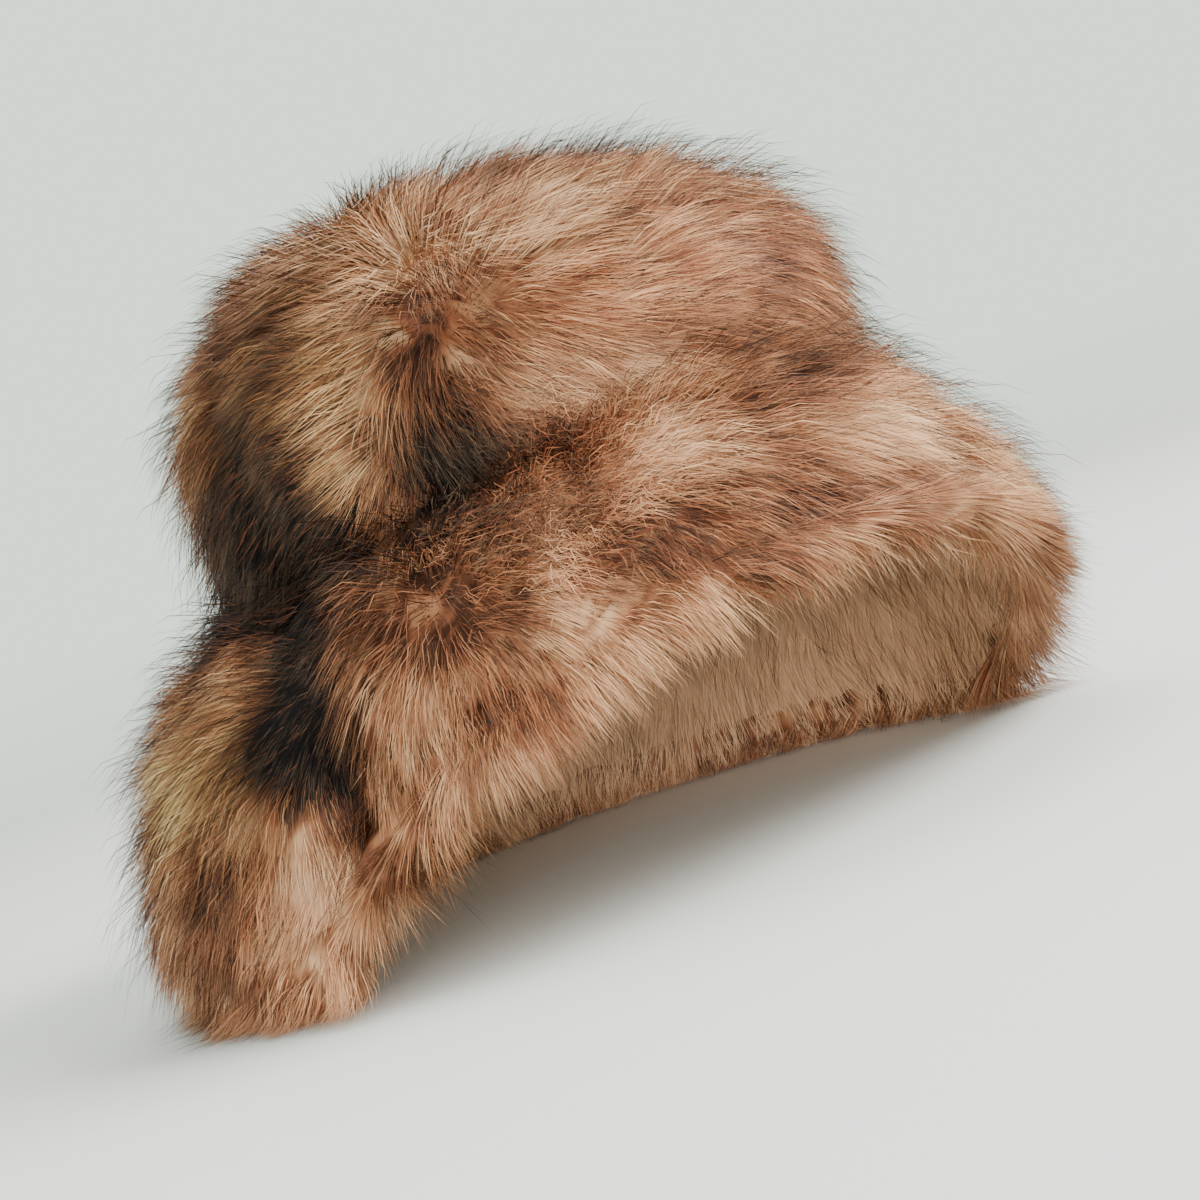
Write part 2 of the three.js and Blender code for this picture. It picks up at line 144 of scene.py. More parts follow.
def unit(vectors):
    return vectors / np.maximum(np.linalg.norm(vectors, axis=-1, keepdims=True), 1e-12)


def node_triangles(name):
    """The triangles of a CAD node as an array of corner places."""
    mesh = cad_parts[name].data
    mesh.calc_loop_triangles()
    places = np.empty(len(mesh.vertices) * 3, np.float32)
    mesh.vertices.foreach_get("co", places)
    corners = np.empty(len(mesh.loop_triangles) * 3, np.int32)
    mesh.loop_triangles.foreach_get("vertices", corners)
    return places.reshape(-1, 3)[corners].reshape(-1, 3, 3).astype(np.float64)


# The hat's axis, from the middle of the crown's mouth up to the highest point of its cloth
CROWN_LOW, CROWN_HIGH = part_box("crown_side_cloth")
MOUTH = np.array([(CROWN_LOW[0] + CROWN_HIGH[0]) / 2, (CROWN_LOW[1] + CROWN_HIGH[1]) / 2])
TOP_PLACES = node_triangles("crown_top_cloth").reshape(-1, 3)
APEX = TOP_PLACES[np.argmax(TOP_PLACES[:, 2])]


def axis_at(places):
    """Where the hat's axis is at each place's height."""
    share = np.clip((places[:, 2] - CROWN_HIGH[2]) / (APEX[2] - CROWN_HIGH[2]), 0, 1)[:, None]
    return MOUTH + share * (APEX[:2] - MOUTH)


def angle_of(places):
    away = places[:, :2] - MOUTH
    return np.degrees(np.arctan2(away[:, 0], -away[:, 1]))


def turn_between(angles, angle):
    """How far the angles are past another, from -180 to 180."""
    return (angles - angle + 180) % 360 - 180


# A place is on the brim's edge or seam if none within this many degrees is lower or higher
BRIM_LINE_STEP = 4


def brim_lines():
    """The places on the brim cloth's edge and on its seam, each the lowest or highest near its angle."""
    places = np.unique(node_triangles("brim_top_cloth").reshape(-1, 3), axis=0)
    angles = angle_of(places)
    groups = [places[np.abs(turn_between(angles, angle)) < BRIM_LINE_STEP] for angle in angles]
    edge = places[places[:, 2] <= [group[:, 2].min() for group in groups]]
    seam = places[places[:, 2] >= [group[:, 2].max() for group in groups]]
    return edge, seam


BRIM_EDGE, BRIM_SEAM = brim_lines()


def height_on(line, angles):
    return np.interp(angles, angle_of(line), line[:, 2], period=360)


def edge_at(angles):
    """The place on the brim's edge at each angle."""
    line = [np.interp(angles, angle_of(BRIM_EDGE), BRIM_EDGE[:, i], period=360) for i in range(3)]
    return np.stack(line, axis=1)


def edge_tree():
    """A lookup of the nearest place on the brim's edge line."""
    return tree_of(edge_at(np.arange(-180, 180, 1.0)))


def tree_of(places):
    """A lookup of the nearest of the places."""
    tree = KDTree(len(places))
    for i, place in enumerate(places):
        tree.insert(place, i)
    tree.balance()
    return tree


def nearest(tree, places):
    return np.array([tree.find(place)[1] for place in places], dtype=int)


def distance_to(tree, places):
    return np.array([tree.find(place)[2] for place in places])


# Corners closer than this are one point, and a face this square to the way out carries pile
WELD = 0.01 * MM
FACING = 0.12


def shared_corners(triangles):
    """The first corner at each point that corners share, and the point that each corner is at."""
    keys = np.round(triangles.reshape(-1, 3) / WELD).astype(np.int64)
    _, first, corner = np.unique(keys, axis=0, return_index=True, return_inverse=True)
    return first, corner.ravel()


def outer_faces(row):
    """The triangles of a cloth that carry pile, with a smooth normal at each corner."""
    triangles = node_triangles(row["cloth"])
    cross = np.cross(triangles[:, 1] - triangles[:, 0], triangles[:, 2] - triangles[:, 0])
    outward = np.ones_like(cross)
    outward[:, :2] = unit(triangles.mean(axis=1)[:, :2] - MOUTH)
    side = (unit(cross) * unit(outward)).sum(axis=1) * row["face"]
    triangles, cross = triangles[side > FACING], cross[side > FACING]
    _, corner = shared_corners(triangles)
    total = np.zeros((corner.max() + 1, 3))
    np.add.at(total, corner, np.repeat(cross, 3, axis=0))
    return triangles, unit(total)[corner].reshape(-1, 3, 3), np.linalg.norm(cross, axis=1) / 2


# Steps that keep a row of places even in two directions, however long the row is
EVEN_STEPS = np.array([0.7548776662, 0.5698402910])


def scatter_roots(faces, count):
    """Places spread evenly over a cloth's face, with their normals."""
    triangles, normals, area = faces
    share = (np.arange(count) + random.random()) / count
    chosen = np.minimum(np.searchsorted(np.cumsum(area) / area.sum(), share), len(area) - 1)
    a, b = ((np.arange(count)[:, None] * EVEN_STEPS + random.random(2)) % 1).T
    fold = a + b > 1
    a[fold], b[fold] = 1 - a[fold], 1 - b[fold]
    weight = np.stack([1 - a - b, a, b], axis=1)[:, :, None]
    return (triangles[chosen] * weight).sum(axis=1), unit((normals[chosen] * weight).sum(axis=1))


# Sines that make up a smooth noise, and the most that their sum usually comes to
WAVES = 9
WAVE_PEAK = 3.2


def smooth_noise(places, scale, seed):
    """A smooth value from -1 to 1 that wanders over a length of about scale."""
    waves = np.random.default_rng(seed)
    value = np.zeros(len(places))
    for _ in range(WAVES):
        push = unit(waves.normal(size=3)) * 2 * math.pi / (scale * waves.uniform(0.7, 1.5))
        value += np.sin(places @ push + waves.uniform(0, 2 * math.pi))
    return np.clip(value / WAVE_PEAK, -1, 1)


QUALITIES = ("light", "red", "curl", "short", "lift")
# A hair shows about this far out from its root and this far below it
SHOWS_OUT = 14 * MM
SHOWS_BELOW = np.array([0, 0, 10 * MM])


def patch_values(row, places):
    """How much each named patch changes the pile at each place: one array for each quality."""
    values = {key: np.zeros(len(places)) for key in QUALITIES}
    if row["face"] < 0:
        return values
    angles = angle_of(places)
    for area in PATCHES.values():
        off_angle = turn_between(angles, area["angle"]) / area["wide"]
        off_height = (places[:, 2] / MM - area["height"]) / area["tall"]
        weight = np.exp(-off_angle ** 2 - off_height ** 2)
        for key in QUALITIES:
            values[key] += weight * area[key]
    return values


def root_patches(row, roots, normals):
    """The same for hairs with these roots, by where each hair shows."""
    return patch_values(row, roots + SHOWS_OUT * normals - SHOWS_BELOW)


# The hat's usual radius in mm, which turns an angle into a length
HAT_RADIUS = 140
# The share of a fan's reach that is its middle, where the hairs stand up
FAN_MIDDLE = 0.45


def fan_places():
    """The place of each fan on its cloth."""
    found = []
    for fan in FANS:
        places = node_triangles(fan["cloth"]).mean(axis=1)
        across = np.radians(turn_between(angle_of(places), fan["angle"])) * HAT_RADIUS
        miss = np.hypot(across, places[:, 2] / MM - fan["height"])
        found.append(places[np.argmin(miss)])
    return found


FAN_PLACES = fan_places()


def fan_middle(places):
    """How close each place is to the middle of a fan, from 0 to 1."""
    share = np.zeros(len(places))
    for fan, centre in zip(FANS, FAN_PLACES):
        apart = np.linalg.norm(places - centre, axis=1) / (FAN_MIDDLE * fan["reach"] * MM)
        share = np.maximum(share, np.exp(-apart ** 2))
    return share


# How far in from the brim's edge the pile is shorter than its full length
EDGE_WIDTH = 30 * MM


def edge_share(row, places):
    """0 at the brim's edge, 1 from some way inside it, and 1 all over the crown."""
    if not row["panel"].startswith("brim"):
        return np.ones(len(places))
    return np.clip(distance_to(EDGE, places) / EDGE_WIDTH, 0, 1)


# The pile on top of the crown leans this way all together, fading over the reach from its top
CROWN_LEAN = 1.3 * np.array([math.sin(math.radians(40)), -math.cos(math.radians(40)), 0])
CROWN_LEAN_REACH = 55 * MM
# The share of the sweep at the brim's edge, and what its seam adds
EDGE_SWEEP, SEAM_SWEEP = 0.75, 0.35
# How far a hair may turn in degrees where the flow has no clear way
STILL_TURN = 100
EDGE = edge_tree()


def pile_flow(row, places, normals, turn):
    """The way that the pile lies: down the slope, swept round the hat, fanned out, and turned."""
    away = np.zeros_like(places)
    away[:, :2] = places[:, :2] - axis_at(places)
    away = unit(away)
    round_hat = np.stack([-away[:, 1], away[:, 0], np.zeros(len(places))], axis=1)
    down = unit(np.cross(round_hat, normals))
    down *= np.where((down * (away - [0, 0, 1])).sum(axis=1) < 0, -1, 1)[:, None]
    angles = angle_of(places)
    share = row["sweep"]
    if row["panel"] == "brim_top":
        low, high = height_on(BRIM_EDGE, angles), height_on(BRIM_SEAM, angles)
        share = share * (EDGE_SWEEP + SEAM_SWEEP * np.clip((places[:, 2] - low) / (high - low), 0, 1))
    sweep = np.radians(share * np.interp(angles, SWEEP_ANGLES, SWEEP_DEGREES, period=360))
    flow = down * np.cos(sweep)[:, None] + round_hat * np.sin(sweep)[:, None]
    if row["face"] > 0:
        from_top = np.linalg.norm(places - APEX, axis=1) / CROWN_LEAN_REACH
        flow += np.exp(-from_top ** 2)[:, None] * CROWN_LEAN
        for fan, centre in zip(FANS, FAN_PLACES):
            offset = places - centre
            offset -= normals * (offset * normals).sum(axis=1)[:, None]
            apart = np.linalg.norm(offset, axis=1) / (fan["reach"] * MM)
            push = fan["strength"] * np.minimum(apart * 2, 1) * np.exp(-apart ** 2)
            flow += push[:, None] * unit(offset)
    flow = flow - normals * (flow * normals).sum(axis=1)[:, None]
    still = np.clip(1 - np.linalg.norm(flow, axis=1), 0, 1)
    flow = unit(flow)
    side = np.cross(normals, flow)
    turn = np.radians(turn + STILL_TURN * still * random.uniform(-1, 1, len(places)))[:, None]
    return flow * np.cos(turn) + side * np.sin(turn), still


# How far apart the clumps are, and the locks that they gather into
CLUMP_SPACING = 6 * MM
LOCK_SPACING = 24 * MM
# Spreads of the way hairs turn in degrees, of how they rise, and of their lengths
LOCK_TURN, CLUMP_TURN, HAIR_TURN = 14, 9, 8
LOCK_RISE, CLUMP_RISE, HAIR_RISE = 0.08, 0.06, 0.08
SIZE_SPREAD = 0.08
# A matted hair's turn in degrees, and slow drifts of the turn and the rise with their lengths
MATTED_TURN = 75
TURN_DRIFT, TURN_DRIFT_LENGTH = 16, 80 * MM
RISE_DRIFT, RISE_DRIFT_LENGTH = 0.09, 45 * MM
# What the rise gains where the flow has no clear way and in the middle of a fan, and its limits
STILL_RISE, FAN_RISE = 0.4, 0.25
FLATTEST, STEEPEST = 0.12, 0.88
# A hair's length at the brim's edge, on the upper and the under side, as a share of its full length
UPPER_EDGE, UNDER_EDGE = 0.56, 0.85
# The most that the patches shorten a hair, and how far its tip droops, as shares of its length
MOST_CUT = 0.55
DROOP = 0.09
# The most that a hair is drawn to the hair at the head of its clump
HOLD = 0.52
# The places along a hair that its ribbon has, as shares of its length
PILE_STEPS = np.array([0.24, 0.62, 1.0])
GUARD_STEPS = np.array([0.40, 0.70, 1.0])
CURL_STEPS = np.array([0.20, 0.36, 0.52, 0.68, 0.84, 1.0])


class Pile:
    """The lie of one panel's pile, gathered into locks and finer clumps."""

    def __init__(self, row):
        self.row = row
        self.faces = outer_faces(row)
        area = self.faces[2].sum()
        locks, _ = scatter_roots(self.faces, int(area / LOCK_SPACING ** 2))
        self.clumps, self.clump_normals = scatter_roots(self.faces, int(area / CLUMP_SPACING ** 2))
        self.tree = tree_of(self.clumps)
        lock = nearest(tree_of(locks), self.clumps)
        count = len(self.clumps)
        self.turn = random.normal(0, LOCK_TURN, len(locks))[lock] + random.normal(0, CLUMP_TURN, count)
        self.rise = random.normal(0, LOCK_RISE, len(locks))[lock] + random.normal(0, CLUMP_RISE, count)
        self.size = random.normal(1, SIZE_SPREAD, len(locks))[lock] * random.normal(1, SIZE_SPREAD, count)
        self.tone = 0.5 * random.random(len(locks))[lock] + 0.5 * random.random(count)

    def lay(self, places, normals, turn, rise, size, steps):
        """Strands from the places, as arrays of points."""
        row = self.row
        looks = root_patches(row, places, normals)
        wild = MATTED_TURN * np.clip(looks["curl"], 0, 1) * random.uniform(-1, 1, len(places))
        drift = TURN_DRIFT * smooth_noise(places, TURN_DRIFT_LENGTH, seed=11)
        flow, still = pile_flow(row, places, normals, turn + wild + drift)
        rise = row["rise"] + rise + looks["lift"] + STILL_RISE * still
        rise += RISE_DRIFT * smooth_noise(places, RISE_DRIFT_LENGTH, seed=12)
        if row["face"] > 0:
            rise += FAN_RISE * fan_middle(places)
        reach = row["length"] * MM * size * (1 - np.clip(looks["short"], 0, MOST_CUT))
        at_edge = UPPER_EDGE if row["face"] > 0 else UNDER_EDGE
        reach *= at_edge + (1 - at_edge) * edge_share(row, places)
        step = steps[None, :, None]
        rise = np.clip(rise, FLATTEST, STEEPEST)[:, None, None]
        up = rise * (1.75 * step - 0.75 * step ** 2)
        ahead = np.sqrt(1 - rise ** 2) * (0.62 * step + 0.38 * step ** 2)
        strands = places[:, None] + reach[:, None, None] * (flow[:, None] * ahead + normals[:, None] * up)
        strands[:, :, 2] -= DROOP * reach[:, None] * steps ** 2
        return strands

    def grow(self, count, steps, longer=1.0, steeper=0.0, loose=1.0, keep=None):
        """Strands with their normals and their qualities for the material."""
        roots, normals = scatter_roots(self.faces, count)
        if keep is not None:
            kept = random.random(count) < keep(root_patches(self.row, roots, normals))
            roots, normals = roots[kept], normals[kept]
        count = len(roots)
        mine = nearest(self.tree, roots)
        turn = self.turn[mine] + random.normal(0, HAIR_TURN * loose, count)
        rise = self.rise[mine] + steeper + random.normal(0, HAIR_RISE * loose, count)
        size = self.size[mine] * longer * random.uniform(0.74, 1.10, count)
        strands = self.lay(roots, normals, turn, rise, size, steps)
        heads = self.lay(self.clumps, self.clump_normals, self.turn, self.rise, self.size, steps)
        hold = random.uniform(0.0, HOLD, count) / loose ** 2
        strands = strands + (hold[:, None] * steps ** 1.5)[:, :, None] * (heads[mine] - strands)
        looks = patch_values(self.row, strands[:, -2])
        return dict(strands=strands, normals=normals, shade=normals, tone=self.tone[mine],
                    light=looks["light"], red=looks["red"])


# The fringe at the brim's edge. Locks in degrees round the hat, turns and spread in degrees. Where
# the edge is lower than the floor height, the fringe is long enough to reach the floor.
FRINGE_LOCK = 5.0
FRINGE_LOCK_TURN, FRINGE_HAIR_TURN = 12, 9
FRINGE_SWEEP = 0.8
FRINGE_SPREAD = 85
FRINGE_REACH = 22 * MM
FRINGE_BEND, FRINGE_DROOP = 0.12, 0.16
FRINGE_FLOOR = 32 * MM
FRINGE_PAST_FLOOR = 1.2
FRINGE_RED = 0.15


def edge_frame(lie, angles):
    """Places on the brim's edge with the cloth's normal there and the way down past the edge."""
    places = edge_at(angles)
    corners, corner_normals = lie.faces[0].reshape(-1, 3), lie.faces[1].reshape(-1, 3)
    normals = corner_normals[nearest(tree_of(corners), places)]
    away = np.zeros_like(places)
    away[:, :2] = unit(places[:, :2] - MOUTH)
    round_hat = np.stack([-away[:, 1], away[:, 0], np.zeros(len(places))], axis=1)
    down = unit(np.cross(round_hat, normals))
    down *= np.where(down[:, 2] > 0, -1, 1)[:, None]
    return places, normals, down, round_hat


def fringe(lie, count, longer=1.0, loose=1.0):
    """The pile at the brim's edge, which stands out all round the edge and makes it a thick roll."""
    angles = random.uniform(-180, 180, count)
    places, normals, down, round_hat = edge_frame(lie, angles)
    lock = np.floor(angles / FRINGE_LOCK).astype(int)
    lock -= lock.min()
    lock_turn = np.random.default_rng(seed=8).normal(0, FRINGE_LOCK_TURN, lock.max() + 1)[lock]
    sweep = FRINGE_SWEEP * np.interp(angles, SWEEP_ANGLES, SWEEP_DEGREES, period=360)
    sweep = np.radians(sweep + lock_turn + random.normal(0, FRINGE_HAIR_TURN * loose, count))[:, None]
    ahead = down * np.cos(sweep) + round_hat * np.sin(sweep)
    spread = np.radians(random.uniform(-FRINGE_SPREAD, FRINGE_SPREAD, count))[:, None]
    way = ahead * np.cos(spread) + normals * np.sin(spread)
    across = (normals * np.cos(spread) - ahead * np.sin(spread)) * np.sign(spread)
    short = np.clip(patch_values(lie.row, places)["short"], 0, 1)
    reach = FRINGE_REACH * longer * random.uniform(0.72, 1.12, count) * (1 - 0.5 * short)
    step = PILE_STEPS[None, :, None]
    low = places[:, 2] < FRINGE_FLOOR
    reach[low] = np.maximum(reach[low], FRINGE_PAST_FLOOR * places[low, 2])
    bent = way[:, None] * step + FRINGE_BEND * ahead[:, None] * step ** 2
    strands = places[:, None] + reach[:, None, None] * bent
    strands[:, :, 2] -= FRINGE_DROOP * reach[:, None] * PILE_STEPS ** 2
    tone = 0.5 * np.random.default_rng(seed=9).random(lock.max() + 1)[lock]
    looks = patch_values(lie.row, strands[:, -2])
    return dict(strands=strands, normals=across, shade=unit(way + 0.5 * across),
                tone=tone + 0.5 * random.random(count), light=looks["light"],
                red=looks["red"] + FRINGE_RED)


# The roll of dense fur along the edge. Where the edge is lower than the floor height, the roll
# reaches down to the floor.
ROLL_STEP = 2.0
ROLL_FLOOR = 15 * MM
ROLL_RADIUS = 7.5 * MM
ROLL_SIDES = 10
ROLL_LUMPS, ROLL_LUMP_LENGTH = 1.6 * MM, 12 * MM
LOWEST_ROLL = 1.2 * MM


def edge_roll(lie, material):
    """The dense fur inside the fringe: a lumpy roll along the brim's edge."""
    angles = np.arange(-180, 180, ROLL_STEP)
    places, normals, down, _ = edge_frame(lie, angles)
    turns = np.radians(np.arange(ROLL_SIDES) * 360 / ROLL_SIDES)
    ring = np.cos(turns)[None, :, None] * down[:, None] + np.sin(turns)[None, :, None] * normals[:, None]
    points = places[:, None] + ROLL_RADIUS * ring
    points = points.reshape(-1, 3)
    lumps = ROLL_LUMPS * smooth_noise(points, ROLL_LUMP_LENGTH, seed=7)
    points += lumps[:, None] * ring.reshape(-1, 3)
    middle = np.repeat(places[:, 2], ROLL_SIDES)
    under = (middle < ROLL_FLOOR) & (points[:, 2] < middle)
    points[under, 2] = (middle - (middle - points[:, 2]) * (middle / ROLL_RADIUS))[under]
    points[:, 2] = np.maximum(points[:, 2], LOWEST_ROLL)
    count = len(angles)
    faces = [(a * ROLL_SIDES + k, a * ROLL_SIDES + (k + 1) % ROLL_SIDES,
              (a + 1) % count * ROLL_SIDES + (k + 1) % ROLL_SIDES, (a + 1) % count * ROLL_SIDES + k)
             for a in range(count) for k in range(ROLL_SIDES)]
    mesh = bpy.data.meshes.new("brim_edge_under_fur")
    mesh.from_pydata(points.tolist(), [], faces)
    mesh.shade_smooth()
    dense_look(lie.row, mesh, points)
    piece = add_object("brim_edge_under_fur", mesh, material)
    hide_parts("brim_top_fur", "brim_under_fur")


# How far a curl's kinks go to the side and up, in mm
KINK_ASIDE, KINK_UP = 2.3, 1.6


def kinked(pile):
    """The same strands with a tight irregular wave."""
    strands, normals = pile["strands"], pile["normals"]
    count, steps = strands.shape[:2]
    ahead = unit(strands[:, -1] - strands[:, 0])
    side = unit(np.cross(ahead, normals))
    wave = random.uniform(-1, 1, (count, steps)) * KINK_ASIDE * MM
    lift = random.uniform(-1, 1, (count, steps)) * KINK_UP * MM
    strands += side[:, None] * wave[:, :, None] + normals[:, None] * lift[:, :, None]
    return pile


def set_qualities(mesh, **qualities):
    """Values at each point of a mesh, which the pile's material reads."""
    for key, value in qualities.items():
        layer = mesh.attributes.new(key, "FLOAT", "POINT")
        layer.data.foreach_set("value", np.asarray(value, np.float32).ravel())


# The dense fur is coloured as a hair is at this share of its length, mottled over these lengths
DENSE_ALONG = 0.33
DENSE_MOTTLE, DENSE_SPECKLE = 20 * MM, 4 * MM


def dense_look(row, mesh, places):
    """The look of the short dense fur between the roots of the hairs."""
    looks = patch_values(row, places)
    count = len(places)
    set_qualities(mesh, along=np.full(count, DENSE_ALONG), guard=np.zeros(count),
                  tone=0.5 + 0.5 * smooth_noise(places, DENSE_MOTTLE, seed=21),
                  stray=0.4 + 0.35 * smooth_noise(places, DENSE_SPECKLE, seed=22),
                  light=looks["light"], red=looks["red"])


# How far hairs may stand past the solids' box: along X, Y and Z
PROUD = np.array([10, 10, 16]) * MM


def near_box(strands):
    """Pile that passes the solids' box bends back towards it."""
    low, high = np.array(CAD_BOX[0]), np.array(CAD_BOX[1])
    over = np.maximum(strands - high, 0)
    strands = np.minimum(strands, high) + PROUD * (1 - np.exp(-over / PROUD))
    over = np.maximum(low - strands, 0)
    return np.maximum(strands, low) - PROUD * (1 - np.exp(-over / PROUD))


# The lowest that a hair lies, and how far out it is pushed for each length that it would go lower
LOWEST_HAIR = 0.4 * MM
FLOOR_PUSH = 0.6


def above_floor(strands):
    """Pile that reaches the floor is pressed along it."""
    depth = np.maximum(LOWEST_HAIR - strands[:, :, 2], 0)
    away = np.zeros((len(strands), 1, 3))
    away[:, 0, :2] = unit(strands[:, -1, :2] - MOUTH)
    strands = strands + FLOOR_PUSH * depth[:, :, None] * away
    strands[:, :, 2] = np.maximum(strands[:, :, 2], LOWEST_HAIR)
    return strands


# How far a ribbon leans about its own length, in radians, its width near the tip as a share of its
# width at the root, and how its light comes from the pile's normal and its own
RIBBON_LEAN = 1.1
RIBBON_TAPER = 0.75
PILE_NORMAL, OWN_NORMAL = 0.75, 0.45


def ribbon_mesh(name, pile, steps, width, guard):
    """One joined mesh of tapering ribbons, a ribbon for each strand."""
    strands, normals = pile["strands"], pile["normals"]
    count, last = len(strands), len(steps) - 1
    ahead = unit(np.gradient(strands, axis=1))
    side = unit(np.cross(ahead, normals[:, None]))
    lean = random.uniform(-RIBBON_LEAN, RIBBON_LEAN, count)[:, None, None]
    face = unit(np.cross(side, ahead))
    side = side * np.cos(lean) + face * np.sin(lean)
    taper = np.linspace(1.0, RIBBON_TAPER, last)[None, :, None]
    half = (width * random.uniform(0.7, 1.3, count))[:, None, None] * taper / 2
    per = 2 * last + 1
    points = np.empty((count, per, 3))
    points[:, 0:per - 1:2] = strands[:, :-1] - side[:, :-1] * half
    points[:, 1:per - 1:2] = strands[:, :-1] + side[:, :-1] * half
    points[:, -1] = strands[:, -1]

    corners = [k for i in range(last - 1) for k in (2 * i, 2 * i + 1, 2 * i + 3, 2 * i + 2)]
    corners += [per - 3, per - 2, per - 1]
    loops = (np.arange(count)[:, None] * per + np.array(corners)).ravel()
    starts = np.arange(count)[:, None] * len(corners) + np.arange(last) * 4
    mesh = bpy.data.meshes.new(name)
    mesh.vertices.add(count * per)
    mesh.vertices.foreach_set("co", points.astype(np.float32).ravel())
    mesh.loops.add(len(loops))
    mesh.loops.foreach_set("vertex_index", loops.astype(np.int32))
    mesh.polygons.add(starts.size)
    mesh.polygons.foreach_set("loop_start", starts.astype(np.int32).ravel())
    mesh.update(calc_edges=True)

    along = np.concatenate([np.repeat(steps[:-1], 2), [1.0]])
    strand_map(mesh, count, per, loops, (along - along[0]) / (1 - along[0]))
    each = {key: np.repeat(pile[key], per) for key in ("tone", "light", "red")}
    set_qualities(mesh, along=np.tile(along, count), guard=np.full(count * per, guard),
                  stray=np.repeat(random.random(count), per), **each)
    shade = np.empty((count, per, 3))
    shade[:, :-1] = np.repeat(face[:, :-1], 2, axis=1)
    shade[:, -1] = face[:, -1]
    shade = unit(PILE_NORMAL * pile["shade"][:, None] + OWN_NORMAL * shade)
    mesh.shade_smooth()
    mesh.normals_split_custom_set_from_vertices(shade.reshape(-1, 3))
    return mesh


def strand_map(mesh, count, per, loops, along):
    """A map that gives each strand a small upright strip of its own."""
    columns = int(math.ceil(math.sqrt(count * 3)))
    rows = int(math.ceil(count / columns))
    cell = np.arange(count)
    across = np.concatenate([np.tile([0.15, 0.85], (per - 1) // 2), [0.5]])
    u = (cell % columns)[:, None] / columns + across[None] / columns
    v = (cell // columns)[:, None] / rows + (0.06 + 0.88 * along)[None] / rows
    places = np.stack([u, v], axis=2).reshape(-1, 2)
    layer = mesh.uv_layers.new(name="OFBake")
    layer.uv.foreach_set("vector", places[loops].astype(np.float32).ravel())


def add_object(name, mesh, material):
    piece = bpy.data.objects.new(name, mesh)
    bpy.context.scene.collection.objects.link(piece)
    mesh.materials.append(material)
    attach(piece, "root")
    return piece


class Nodes:
    """A short way to write a material's nodes."""

    def __init__(self, name):
        self.material = bpy.data.materials.new(name)
        self.material.use_nodes = True
        self.tree = self.material.node_tree
        self.tree.nodes.clear()
        self.output = self.tree.nodes.new("ShaderNodeOutputMaterial")
        self.shader = self.tree.nodes.new("ShaderNodeBsdfPrincipled")
        self.link(self.shader.outputs[0], self.output.inputs["Surface"])

    def link(self, source, target):
        self.tree.links.new(source, target)

    def add(self, kind, **settings):
        node = self.tree.nodes.new(kind)
        for key, value in settings.items():
            setattr(node, key, value)
        return node

    def attribute(self, name):
        return self.add("ShaderNodeAttribute", attribute_name=name).outputs["Fac"]

    def ramp(self, source, stops):
        node = self.add("ShaderNodeValToRGB")
        elements = node.color_ramp.elements
        while len(elements) < len(stops):
            elements.new(0.5)
        for element, (place, color) in zip(elements, stops):
            element.position = place
            element.color = (*color, 1)
        self.link(source, node.inputs[0])
        return node.outputs[0]

    def mix(self, share, first, second, blend="MIX"):
        node = self.add("ShaderNodeMix", data_type="RGBA", blend_type=blend)
        for source, socket in ((share, node.inputs[0]), (first, node.inputs[6]), (second, node.inputs[7])):
            if isinstance(source, (int, float)):
                socket.default_value = source
            elif isinstance(source, tuple):
                socket.default_value = (*source, 1)
            else:
                self.link(source, socket)
        return node.outputs[2]

    def math(self, operation, first, second=0.0, clamp=False):
        node = self.add("ShaderNodeMath", operation=operation, use_clamp=clamp)
        for source, socket in ((first, node.inputs[0]), (second, node.inputs[1])):
            if isinstance(source, (int, float)):
                socket.default_value = source
            else:
                self.link(source, socket)
        return node.outputs[0]

    def around_zero(self, source, strength):
        """A value from 0 to 1, moved to lie about 0 and made stronger or weaker."""
        return self.math("MULTIPLY", self.math("SUBTRACT", source, 0.5), strength)

    def noise(self, scale, detail=2.0, rough=0.5, offset=0.0):
        where = self.add("ShaderNodeTexCoord").outputs["Object"]
        if offset:
            shift = self.add("ShaderNodeVectorMath", operation="ADD")
            shift.inputs[1].default_value = (offset, offset * 0.7, -offset)
            self.link(where, shift.inputs[0])
            where = shift.outputs[0]
        node = self.add("ShaderNodeTexNoise")
        node.inputs["Scale"].default_value = scale
        node.inputs["Detail"].default_value = detail
        node.inputs["Roughness"].default_value = rough
        self.link(where, node.inputs["Vector"])
        return node.outputs["Fac"]


def srgb(red, green, blue):
    """A screen colour, written from 0 to 255, as the shader wants it."""
    shares = (red / 255, green / 255, blue / 255)
    return tuple(((c + 0.055) / 1.055) ** 2.4 if c > 0.04045 else c / 12.92 for c in shares)


BEIGE = srgb(234, 190, 147)
TAN = srgb(195, 142, 100)
RUST = srgb(152, 92, 61)
BROWN = srgb(82, 50, 33)
DARK = srgb(15, 10, 8)
RUDDY_TINT = (0.94, 0.68, 0.60)
# A painted green cast: mostly the olive tint that the shaded left and the back take from the light. The ruddy
# tint is the pile's own rust.
GREEN_CAST_TINT = (0.88, 1.03, 0.84)

# How rusty and how light the pile of the outer panels and of the under panel is. The under panel's
# lightness is partly its own pinkish tan and partly painted light that stands in for light bounced up under
# the brim.
TAN_RUST, TAN_LIGHT = 0.05, 0.57
UNDER_RUST, UNDER_LIGHT_AND_BOUNCE = 0.06, 1.35
# The darkest that the mottling alone makes the pile, how much a patch's light counts, the most that
# rust tints it, and the share of hairs with pale tips, where the others have dark ones
DARKEST_MOTTLE = -0.30
PATCH_LIGHT = 0.70
RUDDY_SHARE = 0.8
PALE_TIPS = 0.72


